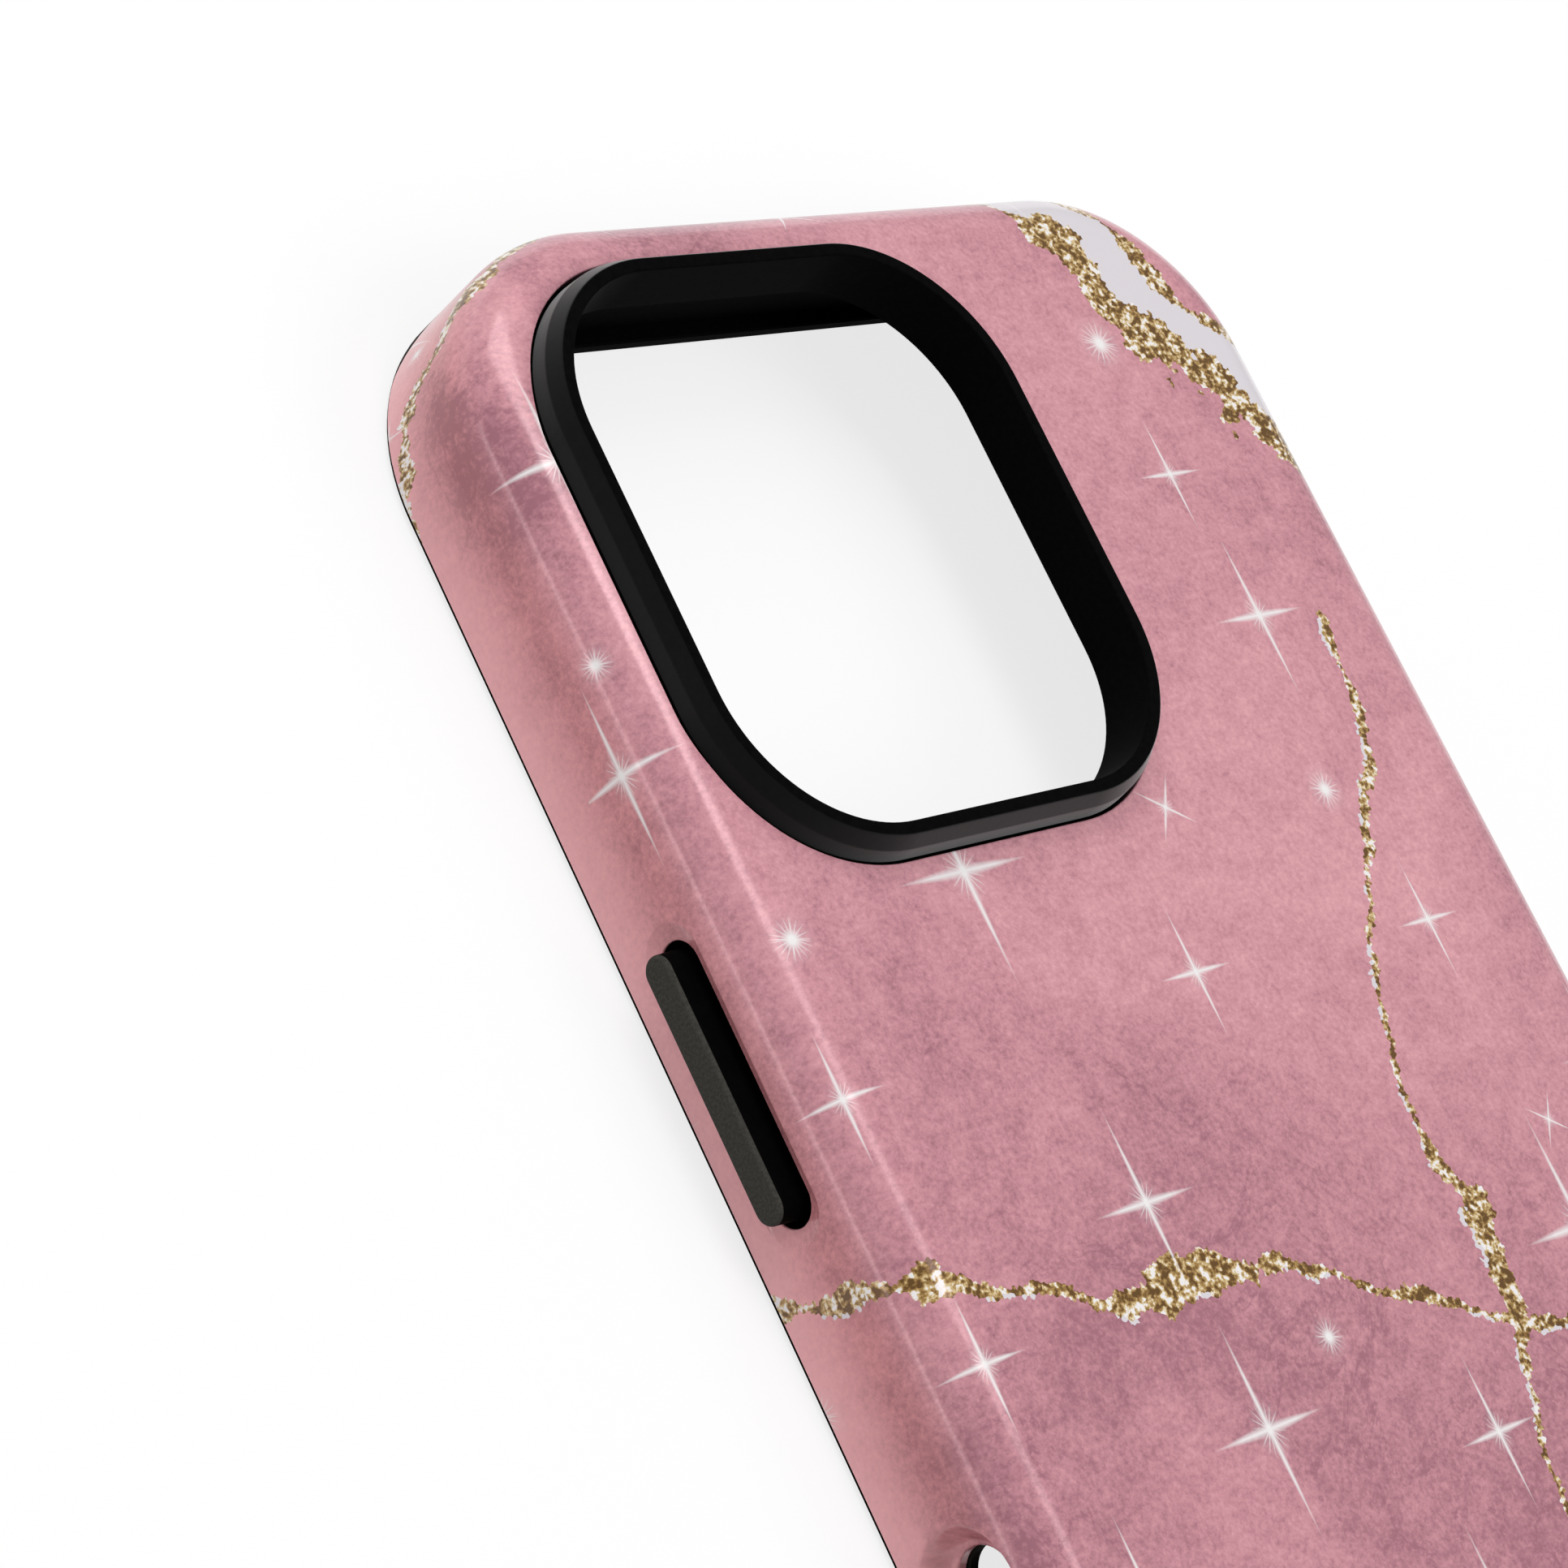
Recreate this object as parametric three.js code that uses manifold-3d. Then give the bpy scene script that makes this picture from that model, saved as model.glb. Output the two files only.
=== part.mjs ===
// Two-layer protective phone case, lying on its front lip with its back facing up.
// A glossy hard shell is snapped over a soft black liner. The liner's collar comes up through the
// shell round the cameras, and its thick ends fill the scoops in the shell's end walls. Four button
// covers are trapped between the two layers and slide in to press the phone's own buttons.
// Millimetres. +Z is up, towards the case's back; +Y runs towards the phone's top end; the cameras
// are at -X. The origin is the middle of the surface that the case lies on.
import * as THREE from "three";
import { mergeVertices } from "three/addons/utils/BufferGeometryUtils.js";
import Module from "manifold-3d";

const wasm = await Module();
wasm.setup();

// The phone that the case is made for
const phoneWidth = 71.5;
const phoneLength = 149.6;
const phoneDepth = 8.25;
const phoneCornerRadius = 12.35;

// Fits and clearances
const phoneSideFit = 0.15;
const phoneDepthFit = 0.1;
const layerGap = 0.25;
const cutOverrun = 2;

// Liner, the soft inner layer
const linerWall = 1.65;
const linerBack = 1;
const lipHeight = 1.4;
const lipOverhang = 1.1;
const lipChamfer = 0.5;
const lipEdgeRadius = 1;
const lipFlangeHeight = 0.32;
const pocketEdgeRadius = 1;

// Shell, the hard outer layer
const shellWall = 1.6;
const shellBack = 1.4;
const shellEdgeRadius = 4.5;

// Scoops in the shell's end walls, which the liner fills
const scoopFootHalfWidth = 36.9;
const scoopHeadHalfWidth = 23;
const scoopBendReach = 5.2;
const topScoopHeight = 7.5;
const portScoopHeight = 8.7;

// Collar round the cameras, with an outer wall of two bands that lean inwards
const collarWidth = 44.3;
const collarLength = 45.7;
const collarCornerRadius = 13.1;
const collarRise = 2.25;
const collarBendRise = 1.1;
const collarLowerLean = 0.15;
const collarUpperLean = 0.57;
const collarTopWidth = 1;
const collarFromPhoneTop = 24;
const collarFromPhoneSide = 21.8;

// Button slots and covers, with distances from the phone's top end to each slot's middle
const slotWidth = 3.66;
const slotDishWidth = 1.2;
const slotDishDepth = 0.3;
const powerSlotLength = 20.1;
const powerFromTop = 56.7;
const volumeSlotLength = 13;
const volumeUpFromTop = 48.3;
const volumeDownFromTop = 63.05;
const actionSlotLength = 8.5;
const actionFromTop = 33.65;
const padGap = 0.5;
const padRise = 1.8;
const padEdgeRadius = 0.3;
const flangeReach = 0.4;
const flangeThickness = 0.55;
const flangeGap = 0.3;
const flangePocketFloor = 0.5;
const tipWidth = 1.8;
const tipSetback = 0.2;
const tipEndInset = 1.6;

// Sunken window for the phone's slide control, below the power button
const controlFromTop = 101.5;
const controlWindowLength = 25;
const controlWindowWidth = 5;
const controlLedge = 0.25;
const controlDishFlare = 1.6;
const controlDishDepth = 1.7;
const controlFloorThickness = 0.8;
const controlBossWall = 0.8;
const controlLinerStep = 0.15;

// Openings in the liner's lower end
const portWidth = 13;
const portHeight = 5.8;
const speakerSlotLength = 14.5;
const speakerSlotHeight = 3.6;
const speakerFromMiddle = 17.6;

// Smoothness of the round forms
const cornerSegments = 9;
const edgeSegments = 4;
const scoopSegments = 14;
const pillSegments = 7;

// Places worked out from the sizes above
const pocketHalfWidth = phoneWidth / 2 + phoneSideFit;
const pocketHalfLength = phoneLength / 2 + phoneSideFit;
const pocketCornerRadius = phoneCornerRadius + phoneSideFit;
const pocketTop = lipHeight + phoneDepth + phoneDepthFit;
const linerTop = pocketTop + linerBack;
const shellUnderside = linerTop + layerGap;
const caseTop = shellUnderside + shellBack;
const linerSide = pocketHalfWidth + linerWall;
const shellInnerSide = linerSide + layerGap;
const caseHalfWidth = shellInnerSide + shellWall;
const wallsTogether = caseHalfWidth - pocketHalfWidth;
const caseHalfLength = pocketHalfLength + wallsTogether;
const caseCornerRadius = pocketCornerRadius + wallsTogether;
const shellFoot = lipFlangeHeight + layerGap;
const phoneTopEnd = phoneLength / 2;
const buttonHeight = lipHeight + phoneDepth / 2;
const collarX = collarFromPhoneSide - phoneWidth / 2;
const collarY = phoneTopEnd - collarFromPhoneTop;
const collarTop = caseTop + collarRise;
const collarWall = collarLowerLean + collarUpperLean + collarTopWidth;
const linerMiddle = (lipHeight + pocketTop) / 2;
const left = -1;
const right = 1;

// The button stack, measured from the case's middle plane
const padFace = caseHalfWidth + padRise;
const flangeOuter = shellInnerSide - flangeGap;
const flangeInner = flangeOuter - flangeThickness;
const pocketFloor = pocketHalfWidth + flangePocketFloor;
const tipEnd = pocketHalfWidth + tipSetback;

// The layers of the sunken window, measured the same way
const controlFloor = caseHalfWidth - controlDishDepth;
const controlFloorInner = controlFloor - controlFloorThickness;
const controlFloorLength = controlWindowLength + 2 * controlLedge;
const controlFloorWidth = controlWindowWidth + 2 * controlLedge;
const controlBossLength = controlFloorLength + 2 * controlBossWall;
const controlBossWidth = controlFloorWidth + 2 * controlBossWall;
const control = { side: left, y: phoneTopEnd - controlFromTop, z: buttonHeight };

// Where the button covers are, and how long their slots
const buttons = [
  { name: "power_button", side: left, length: powerSlotLength, y: phoneTopEnd - powerFromTop },
  { name: "volume_up_button", side: right, length: volumeSlotLength, y: phoneTopEnd - volumeUpFromTop },
  { name: "volume_down_button", side: right, length: volumeSlotLength, y: phoneTopEnd - volumeDownFromTop },
  { name: "action_button", side: right, length: actionSlotLength, y: phoneTopEnd - actionFromTop },
];

// The scooped end walls: the top end, and the lower end with the openings
const scoops = [
  { end: 1, height: topScoopHeight },
  { end: -1, height: portScoopHeight },
];

// A rectangle with round corners, as a flat outline
function roundedRectangle(halfWidth, halfLength, radius) {
  const outline = new THREE.Shape();
  const x = halfWidth - radius;
  const y = halfLength - radius;
  outline.absarc(x, y, radius, 0, Math.PI / 2);
  outline.absarc(-x, y, radius, Math.PI / 2, Math.PI);
  outline.absarc(-x, -y, radius, Math.PI, 1.5 * Math.PI);
  outline.absarc(x, -y, radius, 1.5 * Math.PI, 2 * Math.PI);
  return outline;
}

// A long hole with half-round ends, as a flat outline that lies along X
function pill(length, width) {
  const outline = new THREE.Shape();
  const radius = width / 2;
  const reach = length / 2 - radius;
  outline.absarc(reach, 0, radius, -Math.PI / 2, Math.PI / 2);
  outline.absarc(-reach, 0, radius, Math.PI / 2, 1.5 * Math.PI);
  return outline;
}

// Turns a closed three.js geometry into a solid that can be cut and joined
function solidOf(geometry) {
  const bare = geometry.clone();
  bare.deleteAttribute("normal");
  bare.deleteAttribute("uv");
  const merged = mergeVertices(bare);
  return new wasm.Manifold(
    new wasm.Mesh({
      numProp: 3,
      vertProperties: merged.attributes.position.array,
      triVerts: new Uint32Array(merged.index.array),
    }),
  );
}

// Extrudes an outline upwards from zero. Both ends draw in by inset over the last insetDepth, along a
// quarter round of so many steps, or straight where there is one step.
function extrude(outline, depth, curveSegments, inset = 0, insetDepth = inset, steps = 1) {
  const geometry = new THREE.ExtrudeGeometry(outline, {
    depth: depth - 2 * insetDepth,
    curveSegments,
    bevelEnabled: inset > 0,
    bevelThickness: insetDepth,
    bevelSize: inset,
    bevelOffset: -inset,
    bevelSegments: steps,
  });
  return geometry.translate(0, 0, insetDepth);
}

// A block with round corners between two heights
function block({ halfWidth, halfLength, radius, bottom, top }) {
  const geometry = extrude(roundedRectangle(halfWidth, halfLength, radius), top - bottom, cornerSegments);
  return solidOf(geometry.translate(0, 0, bottom));
}

// The same block with its top edges drawn in: both ends are, and the lower end is then cut off
function crownedBlock({ halfWidth, halfLength, radius, bottom, top, inset, insetDepth = inset, steps }) {
  const outline = roundedRectangle(halfWidth, halfLength, radius);
  const start = bottom - insetDepth - cutOverrun;
  const geometry = extrude(outline, top - start, cornerSegments, inset, insetDepth, steps);
  return solidOf(geometry.translate(0, 0, start)).trimByPlane([0, 0, 1], bottom);
}

// Turns what was extruded upwards so that it points out of a side wall and lies along Y
function faceSideways(geometry, side, { x, y, z }) {
  const outward = new THREE.Vector3(side, 0, 0);
  const along = new THREE.Vector3(0, 1, 0);
  const across = new THREE.Vector3().crossVectors(outward, along);
  geometry.applyMatrix4(new THREE.Matrix4().makeBasis(along, across, outward));
  return geometry.translate(x, y, z);
}

// A pill-shaped peg or cutter in a side wall, from inner to outer as measured from the middle plane.
// Its outer end draws in by inset.
function sidePill({ side, y, z, length, width, inner, outer, inset = 0 }) {
  const start = inner - inset - cutOverrun;
  const geometry = extrude(pill(length, width), outer - start, pillSegments, inset);
  const whole = solidOf(faceSideways(geometry, side, { x: side * start, y, z }));
  return whole.trimByPlane([side, 0, 0], inner);
}

// A cutter for a dish in a side wall: a pill that is narrower at the dish's floor than at its mouth
function dishCutter({ side, y, z, length, width, flare, depth }) {
  const floor = caseHalfWidth - depth;
  const reach = 2 * (depth + cutOverrun);
  const outline = pill(length + 2 * flare, width + 2 * flare);
  const geometry = extrude(outline, reach, pillSegments, flare, depth);
  return solidOf(faceSideways(geometry, side, { x: side * floor, y, z }));
}

// The body of a scoop in an end wall. growth moves its outline outwards.
function scoop({ end, height, growth = 0 }) {
  const foot = scoopFootHalfWidth + growth;
  const head = scoopHeadHalfWidth + growth;
  const low = shellFoot;
  const high = shellFoot + height + growth;
  const outline = new THREE.Shape();
  outline.moveTo(foot, low - cutOverrun);
  outline.lineTo(foot, low);
  outline.bezierCurveTo(foot - scoopBendReach, low, head + scoopBendReach, high, head, high);
  outline.lineTo(-head, high);
  outline.bezierCurveTo(-head - scoopBendReach, high, -foot + scoopBendReach, low, -foot, low);
  outline.lineTo(-foot, low - cutOverrun);
  const depth = caseCornerRadius + cutOverrun;
  const geometry = extrude(outline, depth, scoopSegments);
  geometry.rotateX(Math.PI / 2);
  const outerFace = caseHalfLength + cutOverrun;
  return solidOf(geometry.translate(0, end > 0 ? outerFace : depth - outerFace, 0));
}

// A pill-shaped opening through the lower end wall
function endCutter({ x, length, width }) {
  const geometry = extrude(pill(length, width), wallsTogether + 2 * cutOverrun, pillSegments);
  geometry.rotateX(Math.PI / 2);
  return solidOf(geometry.translate(x, cutOverrun - pocketHalfLength, buttonHeight));
}

// The outside of the whole case, from which both layers take their surface
function caseOutside(bottom) {
  return crownedBlock({
    halfWidth: caseHalfWidth,
    halfLength: caseHalfLength,
    radius: caseCornerRadius,
    bottom,
    top: caseTop,
    inset: shellEdgeRadius,
    steps: edgeSegments,
  });
}

// The sizes of the collar's outline at its foot, grown by a clearance or drawn in
function collarOutline(growth) {
  return {
    halfWidth: collarWidth / 2 + growth,
    halfLength: collarLength / 2 + growth,
    radius: collarCornerRadius + growth,
  };
}

function makeShell() {
  let shell = caseOutside(shellFoot);
  const inside = crownedBlock({
    halfWidth: shellInnerSide,
    halfLength: caseHalfLength - shellWall,
    radius: caseCornerRadius - shellWall,
    bottom: shellFoot - cutOverrun,
    top: shellUnderside,
    inset: shellEdgeRadius - shellWall,
    steps: edgeSegments,
  });
  shell = shell.subtract(inside);
  for (const end of scoops) {
    shell = shell.subtract(scoop(end));
  }
  const collarHole = block({ ...collarOutline(layerGap), bottom: pocketTop, top: caseTop + cutOverrun });
  shell = shell.subtract(collarHole.translate([collarX, collarY, 0]));
  shell = sinkControlWindow(shell);
  for (const { side, length, y } of buttons) {
    const slot = { side, y, z: buttonHeight, length, width: slotWidth };
    const throughWall = { inner: pocketHalfWidth, outer: caseHalfWidth + cutOverrun };
    shell = shell.subtract(sidePill({ ...slot, ...throughWall }));
    shell = shell.subtract(dishCutter({ ...slot, flare: slotDishWidth, depth: slotDishDepth }));
  }
  return shell;
}

// The shell's side wall dips inwards round the window of the slide control
function sinkControlWindow(shell) {
  const boss = sidePill({
    ...control,
    length: controlBossLength,
    width: controlBossWidth,
    inner: controlFloorInner,
    outer: caseHalfWidth - shellWall / 2,
  });
  const dish = dishCutter({
    ...control,
    length: controlFloorLength,
    width: controlFloorWidth,
    flare: controlDishFlare,
    depth: controlDishDepth,
  });
  const window = sidePill({
    ...control,
    length: controlWindowLength,
    width: controlWindowWidth,
    inner: pocketHalfWidth,
    outer: caseHalfWidth,
  });
  return shell.add(boss).subtract(dish).subtract(window);
}

function makeLiner() {
  // The tub, its front flange under the shell's foot, and the ends that fill the shell's scoops
  let liner = crownedBlock({
    halfWidth: linerSide,
    halfLength: pocketHalfLength + linerWall,
    radius: pocketCornerRadius + linerWall,
    bottom: 0,
    top: linerTop,
    inset: shellEdgeRadius - shellWall - layerGap,
    steps: edgeSegments,
  });
  const outside = caseOutside(0);
  liner = liner.add(outside.trimByPlane([0, 0, -1], -lipFlangeHeight));
  for (const end of scoops) {
    liner = liner.add(outside.intersect(scoop({ ...end, growth: -layerGap })));
  }
  liner = addCollar(liner);
  liner = liner.intersect(roundedFront());
  liner = hollowForPhone(liner);
  liner = openForButtons(liner);
  return openForControls(liner);
}

// All that lies behind the front lip's rounded outer edge
function roundedFront() {
  const outline = roundedRectangle(caseHalfWidth, caseHalfLength, caseCornerRadius);
  const height = collarTop + lipEdgeRadius + cutOverrun;
  return solidOf(extrude(outline, height, cornerSegments, lipEdgeRadius, lipEdgeRadius, edgeSegments));
}

function addCollar(liner) {
  const lower = crownedBlock({
    ...collarOutline(0),
    bottom: pocketTop,
    top: caseTop + collarBendRise,
    inset: collarLowerLean,
    insetDepth: collarBendRise,
  });
  const upper = crownedBlock({
    ...collarOutline(-collarLowerLean),
    bottom: pocketTop,
    top: collarTop,
    inset: collarUpperLean,
    insetDepth: collarRise - collarBendRise,
  });
  return liner.add(lower.add(upper).translate([collarX, collarY, 0]));
}

// The pocket that the phone sits in, the mouth that its screen looks out of, and the camera opening
function hollowForPhone(liner) {
  const pocket = crownedBlock({
    halfWidth: pocketHalfWidth,
    halfLength: pocketHalfLength,
    radius: pocketCornerRadius,
    bottom: lipHeight,
    top: pocketTop,
    inset: pocketEdgeRadius,
    steps: edgeSegments,
  });
  const mouth = {
    halfWidth: phoneWidth / 2 - lipOverhang,
    halfLength: phoneLength / 2 - lipOverhang,
    radius: phoneCornerRadius - lipOverhang,
  };
  const mouthCut = block({ ...mouth, bottom: -cutOverrun, top: linerMiddle });
  // The mouth's front edge flares out at 45 degrees
  const flareWidth = lipChamfer + cutOverrun;
  const flare = crownedBlock({
    halfWidth: mouth.halfWidth + flareWidth,
    halfLength: mouth.halfLength + flareWidth,
    radius: mouth.radius + flareWidth,
    bottom: -cutOverrun,
    top: lipChamfer,
    inset: flareWidth,
  });
  const cameraCut = block({
    ...collarOutline(-collarWall),
    bottom: linerMiddle,
    top: collarTop + cutOverrun,
  });
  return liner
    .subtract(pocket)
    .subtract(mouthCut)
    .subtract(flare)
    .subtract(cameraCut.translate([collarX, collarY, 0]));
}

// A shallow pocket behind each button cover, with a window for its tip
function openForButtons(liner) {
  for (const { side, length, y } of buttons) {
    const middle = { side, y, z: buttonHeight, outer: caseHalfWidth };
    const margin = 2 * (flangeReach + flangeGap);
    const flangePocket = sidePill({
      ...middle,
      length: length + margin,
      width: slotWidth + margin,
      inner: pocketFloor,
    });
    const tipWindow = sidePill({
      ...middle,
      length: length - 2 * tipEndInset + 2 * flangeGap,
      width: tipWidth + 2 * flangeGap,
      inner: pocketHalfWidth - cutOverrun,
    });
    liner = liner.subtract(flangePocket).subtract(tipWindow);
  }
  return liner;
}

// Room for the shell's dip with a window behind it, and the openings in the lower end
function openForControls(liner) {
  const dipRoom = sidePill({
    ...control,
    length: controlBossLength + 2 * layerGap,
    width: controlBossWidth + 2 * layerGap,
    inner: controlFloorInner - layerGap,
    outer: caseHalfWidth,
  });
  const window = sidePill({
    ...control,
    length: controlWindowLength - 2 * controlLinerStep,
    width: controlWindowWidth - 2 * controlLinerStep,
    inner: pocketHalfWidth - cutOverrun,
    outer: caseHalfWidth,
  });
  liner = liner.subtract(dipRoom).subtract(window);
  liner = liner.subtract(endCutter({ x: 0, length: portWidth, width: portHeight }));
  for (const side of [left, right]) {
    const slot = { x: side * speakerFromMiddle, length: speakerSlotLength, width: speakerSlotHeight };
    liner = liner.subtract(endCutter(slot));
  }
  return liner;
}

// A button cover: a pad that stands out of its slot, a flange that holds it in, and a pressing tip
function makeButton({ side, length, y }) {
  const middle = { side, y, z: buttonHeight };
  const pad = sidePill({
    ...middle,
    length: length - 2 * padGap,
    width: slotWidth - 2 * padGap,
    inner: flangeInner,
    outer: padFace,
    inset: padEdgeRadius,
  });
  const flange = sidePill({
    ...middle,
    length: length + 2 * flangeReach,
    width: slotWidth + 2 * flangeReach,
    inner: flangeInner,
    outer: flangeOuter,
  });
  const tip = sidePill({
    ...middle,
    length: length - 2 * tipEndInset,
    width: tipWidth,
    inner: tipEnd,
    outer: flangeOuter,
  });
  return pad.add(flange).add(tip);
}

// Wraps a finished solid as a named mesh with its own material
function meshOf(name, solid, material) {
  const { vertProperties, triVerts } = solid.getMesh();
  const geometry = new THREE.BufferGeometry();
  geometry.setAttribute("position", new THREE.BufferAttribute(vertProperties, 3));
  geometry.setIndex(new THREE.BufferAttribute(triVerts, 1));
  geometry.computeVertexNormals();
  const mesh = new THREE.Mesh(geometry, material);
  mesh.name = name;
  return mesh;
}

// Glossy polycarbonate with a rose print, and matt black thermoplastic rubber
const printedShell = new THREE.MeshStandardMaterial({ color: 0xcf8f99, roughness: 0.18, metalness: 0 });
const linerRubber = new THREE.MeshStandardMaterial({ color: 0x131313, roughness: 0.6, metalness: 0 });

// Matt black rubber with a fine grain, a little greyer where it faces the light
function buttonRubber() {
  return new THREE.MeshStandardMaterial({ color: 0x1d1d1c, roughness: 0.7, metalness: 0 });
}

const phoneCase = new THREE.Group();
phoneCase.add(meshOf("outer_shell", makeShell(), printedShell));
phoneCase.add(meshOf("inner_liner", makeLiner(), linerRubber));
for (const button of buttons) {
  phoneCase.add(meshOf(button.name, makeButton(button), buttonRubber()));
}

export default phoneCase;
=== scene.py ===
"""Looks for a two-layer phone case: a printed glossy shell over a matt black liner."""

import math
from functools import partial

import bmesh
import bpy
from mathutils import Matrix, Vector
from mathutils.geometry import interpolate_bezier


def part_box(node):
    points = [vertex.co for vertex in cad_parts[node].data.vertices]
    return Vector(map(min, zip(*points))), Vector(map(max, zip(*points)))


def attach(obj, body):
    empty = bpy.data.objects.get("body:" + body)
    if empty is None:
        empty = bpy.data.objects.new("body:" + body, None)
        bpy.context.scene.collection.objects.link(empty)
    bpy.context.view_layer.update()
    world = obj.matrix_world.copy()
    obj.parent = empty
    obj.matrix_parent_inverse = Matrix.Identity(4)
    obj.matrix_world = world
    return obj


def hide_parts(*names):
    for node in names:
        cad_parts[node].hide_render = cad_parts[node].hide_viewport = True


bl_info = {
    "name": "Printed phone case",
    "version": (1, 0, 0),
    "blender": (4, 5, 0),
    "location": "3D View > Sidebar > Case",
    "description": "Builds a printed two-layer phone case over its packed solids",
    "category": "Object",
}

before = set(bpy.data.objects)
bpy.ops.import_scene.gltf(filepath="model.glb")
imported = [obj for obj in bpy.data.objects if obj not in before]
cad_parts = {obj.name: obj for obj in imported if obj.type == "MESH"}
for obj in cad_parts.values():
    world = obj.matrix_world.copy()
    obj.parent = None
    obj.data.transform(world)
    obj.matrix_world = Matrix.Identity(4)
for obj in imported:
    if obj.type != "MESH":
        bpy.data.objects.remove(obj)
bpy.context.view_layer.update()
MM = 0.001

# The case's outside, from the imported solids
SHELL_LOW, SHELL_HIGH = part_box("outer_shell")
LINER_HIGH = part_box("inner_liner")[1]
HALF_WIDTH = SHELL_HIGH.x
HALF_LENGTH = LINER_HIGH.y
BACK = SHELL_HIGH.z
COLLAR_TOP = LINER_HIGH.z
FOOT = SHELL_LOW.z

# Sizes that the boxes don't give, as the solids have them
CORNER_RADIUS = 16 * MM
EDGE_RADIUS = 4.5 * MM
SHELL_WALL = 1.6 * MM
SHELL_BACK = 1.4 * MM
LAYER_GAP = 0.25 * MM
LINER_WALL = 1.65 * MM
LINER_BACK = 1 * MM
LIP_HEIGHT = 1.4 * MM
LIP_INSET = 4.75 * MM
LIP_FLANGE = 0.32 * MM
LIP_CHAMFER = 0.5 * MM
POCKET_EDGE_RADIUS = 1 * MM
OVERRUN = 2 * MM
BUTTON_HEIGHT = 5.525 * MM
SCOOP_FOOT = 36.9 * MM
SCOOP_HEAD = 23 * MM
SCOOP_BEND = 5.2 * MM
SCOOP_HEIGHTS = {1: 7.5 * MM, -1: 8.7 * MM}
COLLAR_CENTRE = Vector((-13.95 * MM, 50.8 * MM, 0))
COLLAR_HALF = (22.15 * MM, 22.85 * MM)
COLLAR_RADIUS = 13.1 * MM
CONTROL_Y = -26.7 * MM
CONTROL_HALF = (2.5 * MM, 12.5 * MM)
CONTROL_DEPTH = 1.7 * MM
CONTROL_FLOOR = 0.8 * MM
CONTROL_BOSS = 1.05 * MM
CONTROL_LINER_STEP = 0.15 * MM
PORT_HALF = (6.5 * MM, 2.9 * MM)
SPEAKER_HALF = (7.25 * MM, 1.8 * MM)
SPEAKER_X = 17.6 * MM
SLOT_HALF_WIDTH = 1.83 * MM
BUTTONS = {
    "power_button": {"side": -1, "y": 18.1 * MM, "half": 10.05 * MM},
    "volume_up_button": {"side": 1, "y": 26.5 * MM, "half": 6.5 * MM},
    "volume_down_button": {"side": 1, "y": 11.75 * MM, "half": 6.5 * MM},
    "action_button": {"side": 1, "y": 41.15 * MM, "half": 4.25 * MM},
}
PAD_GAP = 0.5 * MM
PAD_RISE = 1.8 * MM
FLANGE_REACH = 0.4 * MM
FLANGE_THICKNESS = 0.55 * MM
FLANGE_GAP = 0.3 * MM
FLANGE_POCKET_FLOOR = 0.5 * MM
TIP_HALF_WIDTH = 0.9 * MM
TIP_SETBACK = 0.2 * MM
TIP_END_INSET = 1.6 * MM

# Small roundings that only the scene has
LIP_BREAK = 0.15 * MM
CONTROL_RIM = 0.25 * MM
COLLAR_EDGE = 0.16 * MM
OPENING_EDGE = 0.14 * MM
# The dish round a slot, as shares of its reach and depth. It ends just outside the wall.
DISH_SLOPE = ((0.25, 0.8), (0.5, 0.56), (0.75, 0.3), (0.9, 0.12), (0.97, 0.03), (1, -0.02))

# Places worked out from the sizes above
LINER_SIDE = SHELL_WALL + LAYER_GAP
POCKET_INSET = LINER_SIDE + LINER_WALL
POCKET_SIDE = HALF_WIDTH - POCKET_INSET
SHELL_UNDERSIDE = BACK - SHELL_BACK
LINER_TOP = SHELL_UNDERSIDE - LAYER_GAP
POCKET_TOP = LINER_TOP - LINER_BACK
CROWN_START = BACK - EDGE_RADIUS
COLLAR_ROOT = BACK - 0.2 * MM
CORE = Vector((HALF_WIDTH - CORNER_RADIUS, HALF_LENGTH - CORNER_RADIUS))
FLANGE_OUTER = HALF_WIDTH - SHELL_WALL - FLANGE_GAP
FLANGE_INNER = FLANGE_OUTER - FLANGE_THICKNESS

# Smoothness of the round forms, in steps to a quarter turn
CORNER_STEPS = 28
CROWN_STEPS = 22
INNER_CROWN_STEPS = 10
PILL_STEPS = 14
SMALL_STEPS = 5
EDGE_STEPS = 3
# Smoothness of the slopes, in steps to each
SCOOP_STEPS = 40
FLARE_STEPS = 16
# Edges folded by more than this are sharp, and vertices nearer than this are merged
SHARP_ANGLE = math.radians(9)
MERGE_REACH = 0.002 * MM


def linear(text):
    """An opaque colour written as sRGB hex, as the linear values that shaders take."""
    channels = [int(text[i : i + 2], 16) / 255 for i in (1, 3, 5)]
    return [*(c / 12.92 if c <= 0.04045 else ((c + 0.055) / 1.055) ** 2.4 for c in channels), 1]


def a_level(name, default, description, **settings):
    about = {"name": name, "description": description, "default": default}
    return bpy.props.FloatProperty(**about, min=0, **settings)


a_length = partial(a_level, subtype="DISTANCE", unit="LENGTH")
a_power = partial(a_level, unit="POWER")


def a_colour(name, text, description):
    about = {"name": name, "description": description, "default": linear(text)}
    return bpy.props.FloatVectorProperty(**about, size=4, subtype="COLOR", min=0, max=1)


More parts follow.
